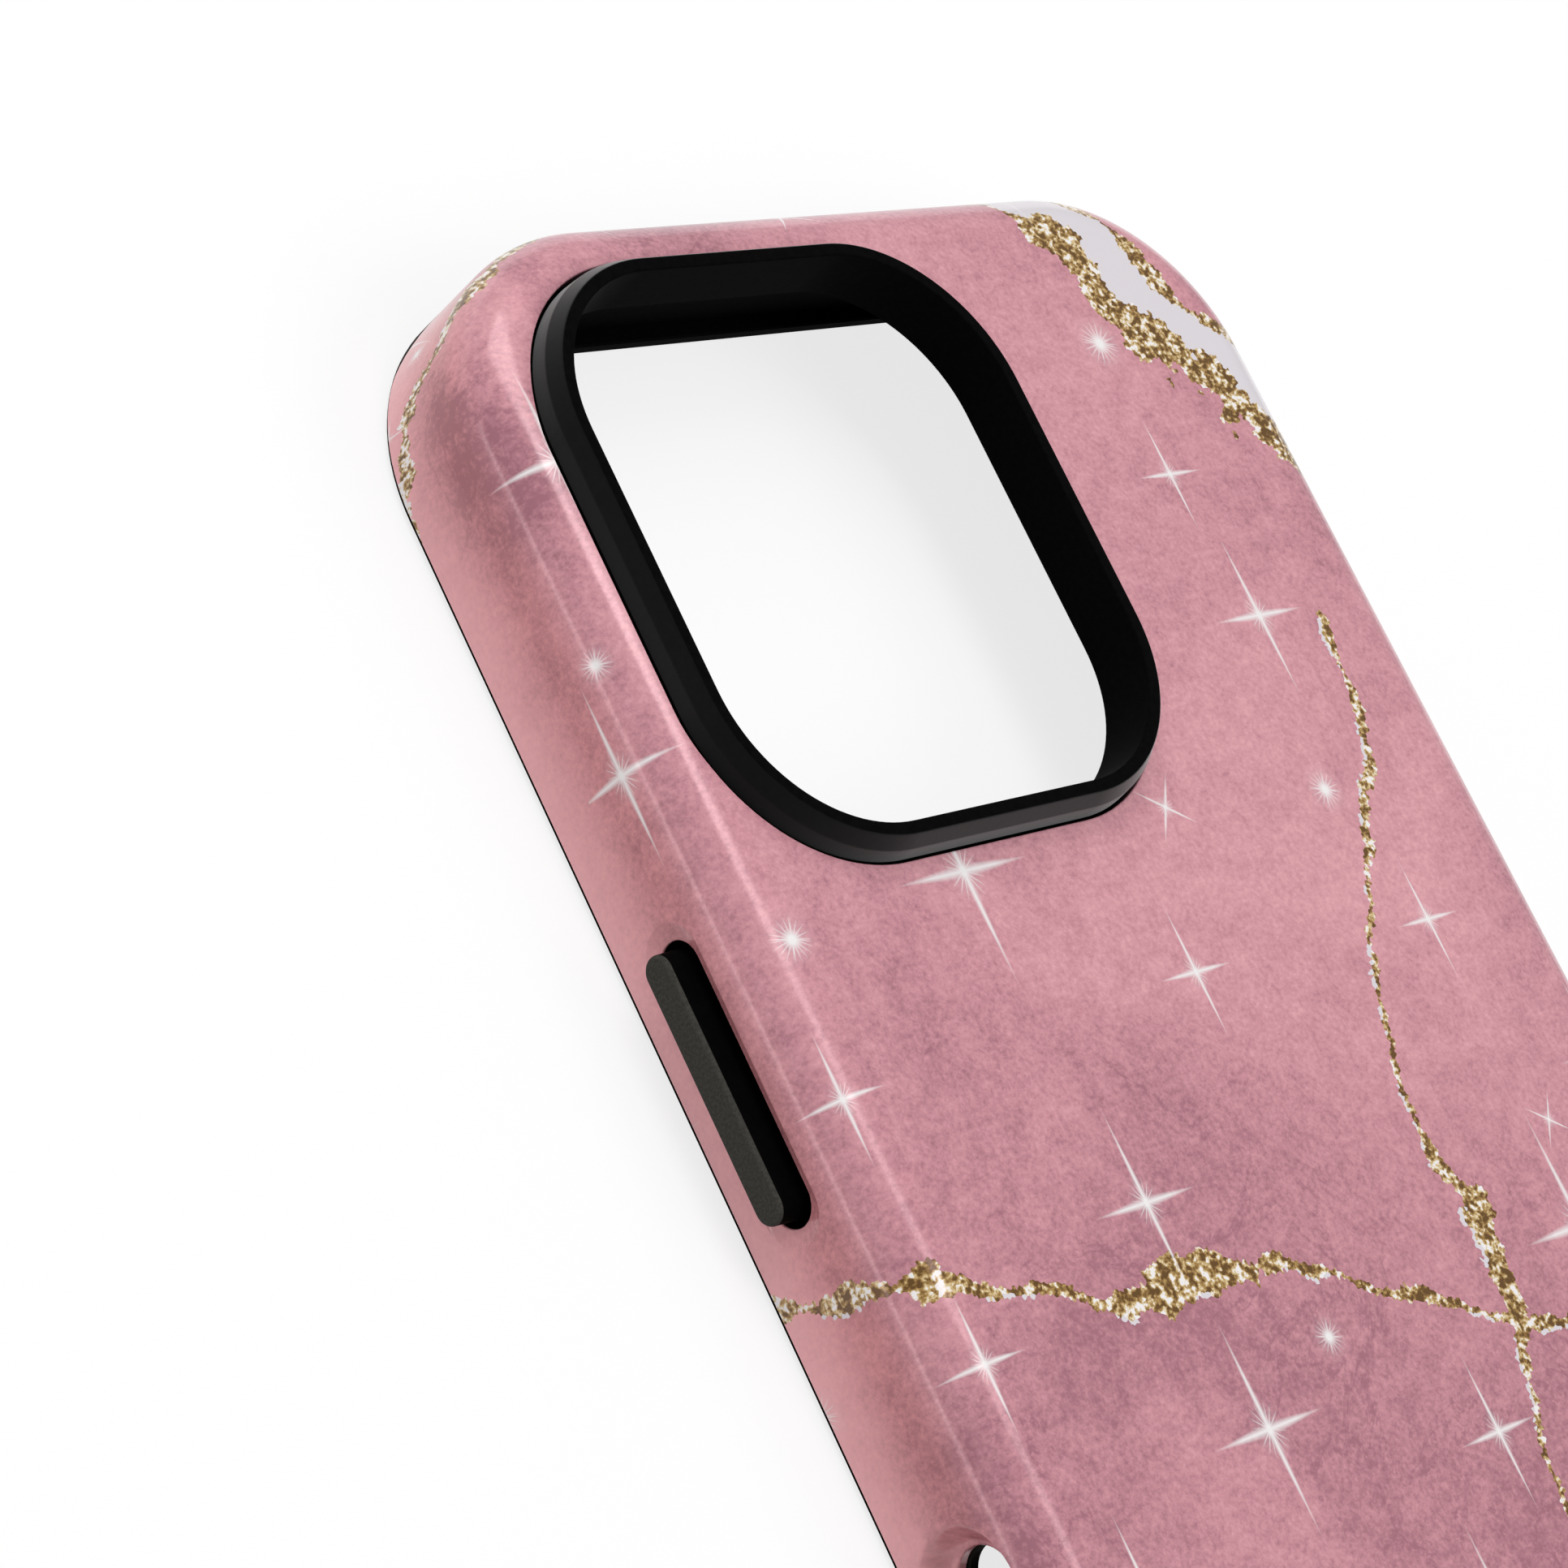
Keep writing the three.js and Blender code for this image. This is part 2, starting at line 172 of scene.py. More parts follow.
class CaseSizes(bpy.types.PropertyGroup):
    """Sizes of the case's finer forms."""

    dish_depth: a_length("Dish depth", 0.3 * MM, "How deep the shell dips round each button slot")
    dish_end: a_length("Dish end", 1.25 * MM, "Reach of the dip past each end of a slot")
    dish_side: a_length("Dish side", 0.75 * MM, "Reach of the dip past each long side of a slot")
    edge_break: a_length("Edge break", 0.12 * MM, "Small rounding of the shell's moulded edges")
    lip_edge: a_length("Lip edge", 0.75 * MM, "Rounding of the front lip's outer edge")
    control_flare: a_length("Control flare", 1.6 * MM, "Slope's width round the sunken window")
    collar_lower_lean: a_length("Lower lean", 0.15 * MM, "Inward lean of the collar's lower band")
    collar_upper_lean: a_length("Upper lean", 0.57 * MM, "Inward lean of the collar's upper band")
    collar_bend: a_length("Collar bend", 1.1 * MM, "Height at which the collar's two bands meet")
    collar_band: a_length("Collar band", 1 * MM, "Width of the collar's flat top")
    pad_edge: a_length("Pad edge", 0.3 * MM, "Rounding round the face of each button cover")
    pad_draft: a_length("Pad draft", 0.1 * MM, "How far a pad narrows from its slot to its face")


class CaseColours(bpy.types.PropertyGroup):
    """Colours of the print, the liner and the button covers."""

    rose: a_colour("Rose", "#CA8F99", "Ground colour of the marble print")
    blush: a_colour("Blush", "#E0A5AD", "Paler clouds in the print")
    mauve: a_colour("Mauve", "#A16C79", "Darker clouds in the print")
    # Painted shade: the warmer, darker tint of the print down the sides
    side_tint: a_colour("Side tint", "#FFEBE4", "Warmer cast of the print down the sides")
    # Painted light: the paler tint of the print towards the foot
    fade: a_colour("Fade", "#FFC2C7", "Paler print where it thins out towards the foot")
    agate: a_colour("Agate", "#DAD5DA", "White bands between gold veins")
    gold_dark: a_colour("Dark gold", "#62461F", "Shaded flakes of the glitter print")
    gold: a_colour("Gold", "#A6844C", "Middle flakes of the glitter print")
    gold_pale: a_colour("Pale gold", "#DCC696", "Lit flakes of the glitter print")
    lustre: a_colour("Lustre", "#FFDDE0", "Cast of the reflections in the shell's gloss")
    glint: a_colour("Glint", "#EFECEC", "Printed star glints")
    liner: a_colour("Liner", "#090909", "Matt black liner rubber")
    # Painted shade: the near black of the button slots' walls
    bare: a_colour("Bare edge", "#100B0C", "Walls of the button slots, which have no print")
    # Painted sheen: the paler grey of the liner's outward faces at the two ends
    liner_end: a_colour("Liner ends", "#272621", "Liner's outer faces at the case's two ends")
    # Painted light and shade: the covers' faces are grey as if lit, and their sides black as if
    # shaded
    pad: a_colour("Pad face", "#3F3E3A", "Faces of the button covers")
    pad_side: a_colour("Pad side", "#050505", "Sides of the button covers")


class StudioLevels(bpy.types.PropertyGroup):
    """Levels of the lamps and the surroundings."""

    ambient: a_level("Surroundings", 0.35, "Level of the surroundings")
    key: a_power("Key", 6.8, "Power of the large lamp beyond the lower end")
    left: a_power("Left", 0.25, "Power of the large lamp at the left")
    overhead: a_power("Overhead strip", 0.78, "Power of the long lamp overhead")
    skirting: a_power("Skirting strip", 0.9, "Power of the low lamp at the left")
    far: a_power("Far", 5.8, "Power of the lamp beyond the top end")


# Shapes ------------


def new_piece(name, bm):
    """Puts a finished bmesh into the scene as an object at the origin."""
    mesh = bpy.data.meshes.new(name)
    bm.to_mesh(mesh)
    bm.free()
    piece = bpy.data.objects.new(name, mesh)
    bpy.context.scene.collection.objects.link(piece)
    return piece


def rounded_outline(bm, half_x, half_y, radius, height, segments):
    """A flat face: a square whose corners are rounded off."""
    before = set(bm.faces)
    corners = bmesh.ops.create_grid(bm, x_segments=1, y_segments=1, size=1)["verts"]
    for corner in corners:
        corner.co.x = math.copysign(half_x, corner.co.x)
        corner.co.y = math.copysign(half_y, corner.co.y)
        corner.co.z = height
    shape = {"affect": "VERTICES", "offset": radius, "segments": segments, "profile": 0.5}
    bmesh.ops.bevel(bm, geom=corners, material=-1, **shape)
    return next(face for face in bm.faces if face not in before)


def lofted(name, rings, segments, place=None):
    """A closed solid through rings of (half x, half y, corner radius, height)."""
    bm = bmesh.new()
    rows = []
    # The rings are bridged a metre apart, because rings at one height would be bridged crosswise
    for index, (half_x, half_y, radius, height) in enumerate(rings):
        face = rounded_outline(bm, half_x, half_y, radius, index, segments)
        rows.append((list(face.edges), list(face.verts), height))
        if 0 < index < len(rings) - 1:
            bmesh.ops.delete(bm, geom=[face], context="FACES_ONLY")
    for (lower, _, _), (upper, _, _) in zip(rows, rows[1:]):
        bmesh.ops.bridge_loops(bm, edges=lower + upper)
    for _, verts, height in rows:
        for vert in verts:
            vert.co.z = height
    if place:
        bmesh.ops.transform(bm, matrix=place, verts=bm.verts[:])
    bmesh.ops.recalc_face_normals(bm, faces=bm.faces[:])
    return new_piece(name, bm)


def quarter_round(radius, top, steps):
    """Rows of (reach, height) up a quarter round, from a side wall to a flat at the top."""
    turns = [math.pi / 2 * i / steps for i in range(steps + 1)]
    return [(radius * (1 - math.cos(t)), top - radius * (1 - math.sin(t))) for t in turns]


def case_ring(inset, height):
    """The case's own outline, drawn in by inset."""
    return (HALF_WIDTH - inset, HALF_LENGTH - inset, CORNER_RADIUS - inset, height)


def crown(inset, top, radius, steps=CROWN_STEPS):
    """Rings up a quarter round, from a side wall to the flat above it."""
    return [case_ring(inset + reach, height) for reach, height in quarter_round(radius, top, steps)]


def foot_round(radius, low, steps):
    """Rings up a quarter round, from the flat at a foot to the side wall above it."""
    turns = [math.pi / 2 * i / steps for i in range(steps + 1)]
    return [case_ring(radius * (1 - math.sin(t)), low + radius * (1 - math.cos(t))) for t in turns]


def collar_form(name, growth, rows):
    """A solid with the collar's outline, grown by growth and by each row's own (growth, height)."""
    half_x, half_y, radius = (size + growth for size in (*COLLAR_HALF, COLLAR_RADIUS))
    rings = [(half_x + more, half_y + more, radius + more, height) for more, height in rows]
    return lofted(name, rings, CORNER_STEPS, Matrix.Translation(COLLAR_CENTRE))


def sideways(side, y):
    """Stands a pill up in a side wall: its height becomes distance from the middle plane."""
    outward = Vector((side, 0, 0))
    along = Vector((0, 1, 0))
    turn = Matrix((along.cross(outward), along, outward)).transposed().to_4x4()
    return Matrix.Translation((0, y, BUTTON_HEIGHT)) @ turn


def pill(name, rows, place):
    """A long solid with half-round ends, through rows of (half width, half length, height)."""
    # A little short of half round, so that the corners' bevels don't meet
    rings = [(width, length, width * 0.998, height) for width, length, height in rows]
    return lofted(name, rings, PILL_STEPS, place)


def combine(piece, operation, tools):
    """Joins tools to a piece, or cuts it with them, and applies the result."""
    for tool in tools:
        cut = piece.modifiers.new(tool.name, "BOOLEAN")
        cut.operation = operation
        cut.solver = "EXACT"
        cut.object = tool
    graph = bpy.context.evaluated_depsgraph_get()
    finished = bpy.data.meshes.new_from_object(piece.evaluated_get(graph))
    piece.modifiers.clear()
    piece.data = finished
    for tool in tools:
        bpy.data.objects.remove(tool)


def smooth_shaded(piece):
    """Merges doubles, marks sharp edges by angle and leaves flat faces flat in their shading."""
    bm = bmesh.new()
    bm.from_mesh(piece.data)
    bmesh.ops.remove_doubles(bm, verts=bm.verts[:], dist=MERGE_REACH)
    bmesh.ops.dissolve_degenerate(bm, dist=MERGE_REACH / 2, edges=bm.edges[:])
    for face in bm.faces:
        face.smooth = True
    for edge in bm.edges:
        folded = len(edge.link_faces) != 2 or edge.calc_face_angle(math.pi) >= SHARP_ANGLE
        edge.smooth = not folded
    bm.to_mesh(piece.data)
    bm.free()
    flats = piece.modifiers.new("Flat faces", "WEIGHTED_NORMAL")
    flats.keep_sharp = True


def scoop_block(name, end, growth=0):
    """A block with a scoop's outline, through an end wall."""
    foot, head = SCOOP_FOOT + growth, SCOOP_HEAD + growth
    low, high = FOOT, FOOT + SCOOP_HEIGHTS[end] + growth
    upper = (Vector((-head, 0, high)), Vector((-head - SCOOP_BEND, 0, high)))
    lower = (Vector((-foot, 0, low)), Vector((-foot + SCOOP_BEND, 0, low)))
    left = interpolate_bezier(*upper, *reversed(lower), SCOOP_STEPS)
    right = [Vector((-p.x, 0, p.z)) for p in reversed(left)]
    bottom = low - OVERRUN
    corners = [*left, Vector((-foot, 0, bottom)), Vector((foot, 0, bottom)), *right]
    bm = bmesh.new()
    face = bm.faces.new([bm.verts.new(p) for p in corners])
    grown = bmesh.ops.extrude_face_region(bm, geom=[face])["geom"]
    depth = CORNER_RADIUS + OVERRUN
    moved = [part for part in grown if isinstance(part, bmesh.types.BMVert)]
    bmesh.ops.translate(bm, vec=(0, depth, 0), verts=moved)
    outer = HALF_LENGTH + OVERRUN
    bmesh.ops.translate(bm, vec=(0, outer - depth if end > 0 else -outer, 0), verts=bm.verts[:])
    bmesh.ops.recalc_face_normals(bm, faces=bm.faces[:])
    return new_piece(name, bm)


class CASE_OT_shell(bpy.types.Operator):
    """Makes the hard printed shell"""

    bl_idname = "case.shell"
    bl_label = "Shell"

    def execute(self, context):
        sizes = context.scene.case_sizes
        edge = sizes.edge_break
        inner_radius = EDGE_RADIUS - SHELL_WALL
        rings = [
            *reversed(crown(SHELL_WALL, SHELL_UNDERSIDE, inner_radius, INNER_CROWN_STEPS)),
            case_ring(SHELL_WALL, FOOT),
            *foot_round(edge, FOOT, EDGE_STEPS),
            *crown(0, BACK, EDGE_RADIUS),
        ]
        shell = lofted("printed_shell", rings, CORNER_STEPS)
        control = sideways(-1, CONTROL_Y)
        combine(shell, "UNION", [pill("boss", self.control_boss(), control)])
        rim = [(0, POCKET_TOP), *quarter_round(edge, BACK, EDGE_STEPS), (edge, BACK + OVERRUN)]
        tools = [
            scoop_block("top scoop", 1),
            scoop_block("port scoop", -1),
            collar_form("camera hole", LAYER_GAP, rim),
            pill("dip", self.control_dip(sizes), control),
        ]
        for name, button in BUTTONS.items():
            rows = self.slot(sizes, button["half"])
            tools.append(pill(name + " slot", rows, sideways(button["side"], button["y"])))
        combine(shell, "DIFFERENCE", tools)
        smooth_shaded(shell)
        unroll_print(shell)
        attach(shell, "case")
        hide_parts("outer_shell")
        shell.data.materials.append(printed_polycarbonate(context.scene.case_colours))
        return {"FINISHED"}

    def control_boss(self):
        """Rows of the lump behind the shell's wall that holds the sunken window."""
        half = [h + CONTROL_BOSS for h in CONTROL_HALF]
        inner = HALF_WIDTH - CONTROL_DEPTH - CONTROL_FLOOR
        return [(*half, height) for height in (inner, HALF_WIDTH - SHELL_WALL / 2)]

    def control_dip(self, sizes):
        """Rows of the window, its rounded rim and the slope out to the wall's surface."""
        floor = HALF_WIDTH - CONTROL_DEPTH
        rows = [(0, POCKET_SIDE), *quarter_round(CONTROL_RIM, floor, SMALL_STEPS)]
        for i in range(1, FLARE_STEPS + 1):
            t = i / FLARE_STEPS
            eased = t * t * (3 - 2 * t)
            rows.append((CONTROL_RIM + sizes.control_flare * t, floor + CONTROL_DEPTH * eased))
        rows.append((CONTROL_RIM + sizes.control_flare + 0.02 * MM, HALF_WIDTH + OVERRUN))
        return [(CONTROL_HALF[0] + g, CONTROL_HALF[1] + g, height) for g, height in rows]

    def slot(self, sizes, half_length):
        """Rows of a button's slot, its rounded rim and the shallow dish round it."""
        edge = sizes.edge_break
        rim = quarter_round(edge, HALF_WIDTH - sizes.dish_depth, EDGE_STEPS)
        rows = [(SLOT_HALF_WIDTH, half_length, POCKET_SIDE)]
        rows += [(SLOT_HALF_WIDTH + g, half_length + g, height) for g, height in rim]
        for t, depth in DISH_SLOPE:
            across = SLOT_HALF_WIDTH + edge + (sizes.dish_side - edge) * t
            along = half_length + edge + (sizes.dish_end - edge) * t
            rows.append((across, along, HALF_WIDTH - sizes.dish_depth * depth))
        rows.append((*rows[-1][:2], HALF_WIDTH + OVERRUN))
        return rows


def unroll_print(shell):
    """A UV map in metres that runs flat over the back and rolls down over the edges."""
    layer = shell.data.uv_layers.new(name="print")
    flat = CORNER_RADIUS - EDGE_RADIUS
    places = {}
    for vert in shell.data.vertices:
        x, y, z = vert.co
        core = Vector((max(-CORE.x, min(CORE.x, x)), max(-CORE.y, min(CORE.y, y))))
        out = Vector((x, y)) - core
        reach = out.length
        if reach <= flat:
            places[vert.index] = (x, y)
            continue
        turn = math.pi / 2
        if z > CROWN_START:
            turn = math.asin(min(1, (reach - flat) / EDGE_RADIUS))
        rolled = flat + EDGE_RADIUS * turn + max(0, CROWN_START - z)
        places[vert.index] = core + out * (rolled / reach)
    for loop in shell.data.loops:
        layer.data[loop.index].uv = places[loop.vertex_index]


class CASE_OT_liner(bpy.types.Operator):
    """Makes the soft black liner with its raised collar"""

    bl_idname = "case.liner"
    bl_label = "Liner"

    def execute(self, context):
        sizes = context.scene.case_sizes
        colours = context.scene.case_colours
        tub_crown = crown(LINER_SIDE, LINER_TOP, EDGE_RADIUS - LINER_SIDE, INNER_CROWN_STEPS)
        tub = lofted("tub", [case_ring(LINER_SIDE, LIP_FLANGE / 2), *tub_crown], CORNER_STEPS)
        rings = [*foot_round(sizes.lip_edge, 0, SMALL_STEPS), *crown(0, BACK, EDGE_RADIUS)]
        liner = lofted("inner_liner_rubber", rings, CORNER_STEPS)
        combine(liner, "INTERSECT", [self.front_and_ends()])
        combine(liner, "UNION", [tub, self.collar(sizes)])
        cuts = [self.hollow(), self.camera_opening(sizes), *self.side_cuts(), *self.end_cuts()]
        combine(liner, "DIFFERENCE", cuts)
        smooth_shaded(liner)
        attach(liner, "case")
        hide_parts("inner_liner")
        liner.data.materials.append(liner_rubber(colours))
        liner.data.materials.append(collar_side_rubber(colours))
        for polygon in liner.data.polygons:
            spoke = (polygon.center - COLLAR_CENTRE).to_2d().normalized()
            outward = spoke.dot(polygon.normal.to_2d()) > 0.4
            if polygon.center.z > COLLAR_ROOT and outward:
                polygon.material_index = 1
        return {"FINISHED"}

    def front_and_ends(self):
        """What the liner shows outside the shell: its front flange and the fills of the scoops."""
        bm = bmesh.new()
        bmesh.ops.create_cube(bm, size=1)
        size = (3 * HALF_WIDTH, 3 * HALF_LENGTH, OVERRUN)
        bmesh.ops.scale(bm, vec=size, verts=bm.verts[:])
        bmesh.ops.translate(bm, vec=(0, 0, LIP_FLANGE - OVERRUN / 2), verts=bm.verts[:])
        slab = new_piece("front and ends", bm)
        combine(slab, "UNION", [scoop_block("scoop", end, -LAYER_GAP) for end in (1, -1)])
        return slab

    def collar(self, sizes):
        """The raised collar: two bands that lean inwards, and a flat top."""
        lower = sizes.collar_lower_lean
        top = lower + sizes.collar_upper_lean
        bend = BACK + sizes.collar_bend
        # Three rows soften the bend between the bands, and four round the edge of the top
        rows = [
            (0, POCKET_TOP + LINER_BACK / 2),
            (0, COLLAR_ROOT),
            (lower * 0.93, bend - 0.06 * MM),
            (lower + 0.012 * MM, bend + 0.02 * MM),
            (lower + 0.05 * MM, bend + 0.1 * MM),
            (lower + sizes.collar_upper_lean * 0.9, COLLAR_TOP - COLLAR_EDGE),
            (top + COLLAR_EDGE * 0.1, COLLAR_TOP - COLLAR_EDGE * 0.3),
            (top + COLLAR_EDGE * 0.45, COLLAR_TOP - COLLAR_EDGE * 0.05),
            (top + COLLAR_EDGE, COLLAR_TOP),
        ]
        return collar_form("collar", 0, [(-lean, height) for lean, height in rows])

    def camera_opening(self, sizes):
        """The opening through the collar, with a rounded upper edge."""
        wall = sizes.collar_lower_lean + sizes.collar_upper_lean + sizes.collar_band
        rows = [(0, LIP_HEIGHT * 3), *quarter_round(OPENING_EDGE, COLLAR_TOP, EDGE_STEPS)]
        rows.append((OPENING_EDGE, COLLAR_TOP + OVERRUN))
        return collar_form("camera opening", -wall, rows)

    def hollow(self):
        """The pocket and the mouth in front of it, as one cutter."""
        flare = LIP_CHAMFER + OVERRUN
        rings = [
            case_ring(LIP_INSET - flare, -OVERRUN),
            case_ring(LIP_INSET, LIP_CHAMFER),
            case_ring(LIP_INSET, LIP_HEIGHT - LIP_BREAK),
            case_ring(LIP_INSET - LIP_BREAK, LIP_HEIGHT),
            case_ring(POCKET_INSET, LIP_HEIGHT),
            *crown(POCKET_INSET, POCKET_TOP, POCKET_EDGE_RADIUS, SMALL_STEPS),
        ]
        return lofted("hollow", rings, CORNER_STEPS)

    def side_cuts(self):
        """Cutters for the button covers and the sunken window."""
        cuts = []
        through = (POCKET_SIDE - OVERRUN, HALF_WIDTH)
        for name, button in BUTTONS.items():
            place = sideways(button["side"], button["y"])
            margin = FLANGE_REACH + FLANGE_GAP
            bed = (SLOT_HALF_WIDTH + margin, button["half"] + margin)
            heights = (POCKET_SIDE + FLANGE_POCKET_FLOOR, HALF_WIDTH)
            cuts.append((name + " bed", bed, heights, place))
            window = (TIP_HALF_WIDTH + FLANGE_GAP, button["half"] - TIP_END_INSET + FLANGE_GAP)
            cuts.append((name + " window", window, through, place))
        place = sideways(-1, CONTROL_Y)
        room = [h + CONTROL_BOSS + LAYER_GAP for h in CONTROL_HALF]
        inner = HALF_WIDTH - CONTROL_DEPTH - CONTROL_FLOOR - LAYER_GAP
        cuts.append(("dip room", room, (inner, HALF_WIDTH), place))
        window = [h - CONTROL_LINER_STEP for h in CONTROL_HALF]
        cuts.append(("control window", window, through, place))
        return [pill(name, [(*half, h) for h in span], at) for name, half, span, at in cuts]

    def end_cuts(self):
        """Cutters for the lower end's charging port and speaker openings."""
        turn = Matrix.Rotation(math.pi / 2, 4, "X") @ Matrix.Rotation(math.pi / 2, 4, "Z")
        heights = (HALF_LENGTH - POCKET_INSET - OVERRUN, HALF_LENGTH + OVERRUN)
        openings = ((0, PORT_HALF), (-SPEAKER_X, SPEAKER_HALF), (SPEAKER_X, SPEAKER_HALF))
        cuts = []
        for x, (half_length, half_width) in openings:
            rows = [(half_width, half_length, height) for height in heights]
            cuts.append(pill("end opening", rows, Matrix.Translation((x, 0, BUTTON_HEIGHT)) @ turn))
        return cuts


class CASE_OT_buttons(bpy.types.Operator):
    """Makes the four button covers"""

    bl_idname = "case.buttons"
    bl_label = "Button covers"

    def execute(self, context):
        sizes = context.scene.case_sizes
        colours = context.scene.case_colours
        face, sides = pad_face_rubber(colours), pad_side_rubber(colours)
        # Painted light: the face is coloured grey as if lit, and the sides black as if shaded. The
        # round of the edge belongs to the face, and the rest is side
        rim = HALF_WIDTH + PAD_RISE - sizes.pad_edge * 1.05
        for name, button in BUTTONS.items():
            rows = self.cover(sizes, button["half"])
            cover = pill(name + "_cover", rows, sideways(button["side"], button["y"]))
            smooth_shaded(cover)
            cover.data.materials.append(sides)
            cover.data.materials.append(face)
            for polygon in cover.data.polygons:
                if abs(polygon.center.x) > rim:
                    polygon.material_index = 1
            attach(cover, name)
            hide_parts(name)
        return {"FINISHED"}

    def cover(self, sizes, length):
        """Rows of a pressing tip, the flange that holds it in and the pad that stands out."""
        width = SLOT_HALF_WIDTH
        rows = [
            (TIP_HALF_WIDTH, length - TIP_END_INSET, POCKET_SIDE + TIP_SETBACK),
            (TIP_HALF_WIDTH, length - TIP_END_INSET, FLANGE_INNER),
            (width + FLANGE_REACH, length + FLANGE_REACH, FLANGE_INNER),
            (width + FLANGE_REACH, length + FLANGE_REACH, FLANGE_OUTER),
            (width - PAD_GAP, length - PAD_GAP, FLANGE_OUTER),
        ]
        for reach, height in quarter_round(sizes.pad_edge, HALF_WIDTH + PAD_RISE, SMALL_STEPS):
            inset = PAD_GAP + sizes.pad_draft + reach
            rows.append((width - inset, length - inset, height))
        return rows


# Materials ------------

# The kinds of node that are used most
MATH = "ShaderNodeMath"
VECTOR_MATH = "ShaderNodeVectorMath"
MAP_RANGE = "ShaderNodeMapRange"
MIX = "ShaderNodeMix"
NOISE = "ShaderNodeTexNoise"
CELLS = "ShaderNodeTexVoronoi"
PLACE = "ShaderNodeTexCoord"
AXES = "ShaderNodeSeparateXYZ"
CHANNELS = "ShaderNodeSeparateColor"
RAMP = "ShaderNodeValToRGB"
OUTPUT = "ShaderNodeOutputMaterial"


def node(tree, kind, inputs=(), **settings):
    """Adds one node. Inputs, in order or by name, are values, sockets or nodes' first outputs."""
    made = tree.nodes.new(kind)
    for key, value in settings.items():
        setattr(made, key, value)
    named = inputs if isinstance(inputs, dict) else dict(enumerate(inputs))
    for key, value in named.items():
        if isinstance(value, bpy.types.Node):
            value = value.outputs[0]
        if isinstance(value, bpy.types.NodeSocket):
            tree.links.new(value, made.inputs[key])
        else:
            made.inputs[key].default_value = value
    return made


def blank_material(name):
    """An empty material, and the function that adds nodes to it."""
    material = bpy.data.materials.new(name)
    material.use_nodes = True
    material.node_tree.nodes.clear()
    return material, partial(node, material.node_tree)


# The print's patterns, in real sizes. Its clouds are some 34 mm across, and its washes 17 mm. The
# paper under it has a mottle of 2 mm and a grain of 0.45 mm. The shift picks the clouds' layout.
CLOUDS = {"Scale": 1 / (34 * MM), "Detail": 5, "Roughness": 0.55, "Distortion": 0.5}
CLOUD_SHIFT = (-0.164, -0.204, 0)
WASHES = {"Scale": 1 / (17 * MM), "Detail": 7, "Roughness": 0.6, "Distortion": 1}
MOTTLE = {"Scale": 1 / (2 * MM), "Detail": 4, "Roughness": 0.7}
GRAIN = {"Scale": 1 / (0.45 * MM), "Detail": 3, "Roughness": 0.7}
# Painted highlight: the middle of the paler patch in the corner beside the collar
PALE_WASH = Vector((-36.5 * MM, 71.5 * MM, 0))
# Painted light: the height below which the print turns paler towards the foot
THIN_FROM = 6.5 * MM
# Veins wander by up to 2.5 mm over 9 mm, and their width changes over 4 mm. Slivers of white some
# 7 mm long lie beside them.
WANDER = {"Scale": 1 / (9 * MM), "Detail": 4}
WANDER_REACH = 5 * MM
UNEVEN = {"Scale": 1 / (4 * MM), "Detail": 3}
SLIVERS = {"Scale": 1 / (7 * MM), "Detail": 1}
SLIVER_OFFSET = 0.22 * MM
# Real flakes are 0.1 to 0.2 mm across. They are drawn at 0.3 mm, so that they show. Patches and
# crumbs of them catch the light together.
FLAKE = 0.3 * MM
PATCHES = {"Scale": 1 / (1.1 * MM), "Detail": 1}
CRUMBS = {"Scale": 1 / (0.45 * MM), "Detail": 2}

# Half the print's reach and the widest vein, in millimetres
PRINT_HALF = 90
WIDEST_VEIN = 8
# Paths and widths of the print's veins, in millimetres on the unrolled back. A path's points are
# (along, across) and a width's are (along, width). The first group runs along Y.
LONG_VEINS = [
    ([(-90, 2), (-62, 12), (-40, 5), (-24, 9), (-8, 14), (4, 13), (18, 20), (30, 28), (40, 31),
      (90, 40)],
     [(-90, 1.2), (-60, 0.9), (-42, 2.2), (-22, 0.7), (-9, 2.6), (2, 0.6), (16, 0.9), (30, 1.6),
      (38, 1.1), (41, 0), (90, 0)]),
    ([(-90, -60), (40, -56), (57, -51.5), (61, -50.1), (64.4, -49.2), (67, -48), (69.3, -46.6),
      (71.6, -44.6), (73.2, -40.2), (74.6, -37), (76.2, -34), (78, -30), (81, -24), (85, -14),
      (90, 0)],
     [(-90, 0), (50, 0), (56, 1), (61, 2), (67, 2.4), (70, 3), (72, 5.2), (76, 4.6), (82, 4.6),
      (90, 3)]),
]
# This group runs along X
CROSS_VEINS = [
    ([(-90, 10), (-50, 4.5), (-44, 3), (-41, 3.1), (-38, 1.8), (-35.7, 0.9), (-33, -0.4),
      (-30.5, -2), (-28.5, -2), (-26.5, -2.5), (-24, -3.3), (-20, -3.9), (-15, -4.2),
      (-6, -5.6), (3, -10.2), (12, -14.3), (28, -17), (44, -26), (90, -34)],
     [(-90, 1.4), (-50, 1.6), (-46, 1.7), (-38, 1.6), (-28, 1.3), (-23, 1.9), (-16, 3.4),
      (-11, 2.6), (-8, 1.7), (-4, 1.2), (4, 1), (14, 1.1), (30, 0.7), (46, 1.4), (90, 1.4)]),
]
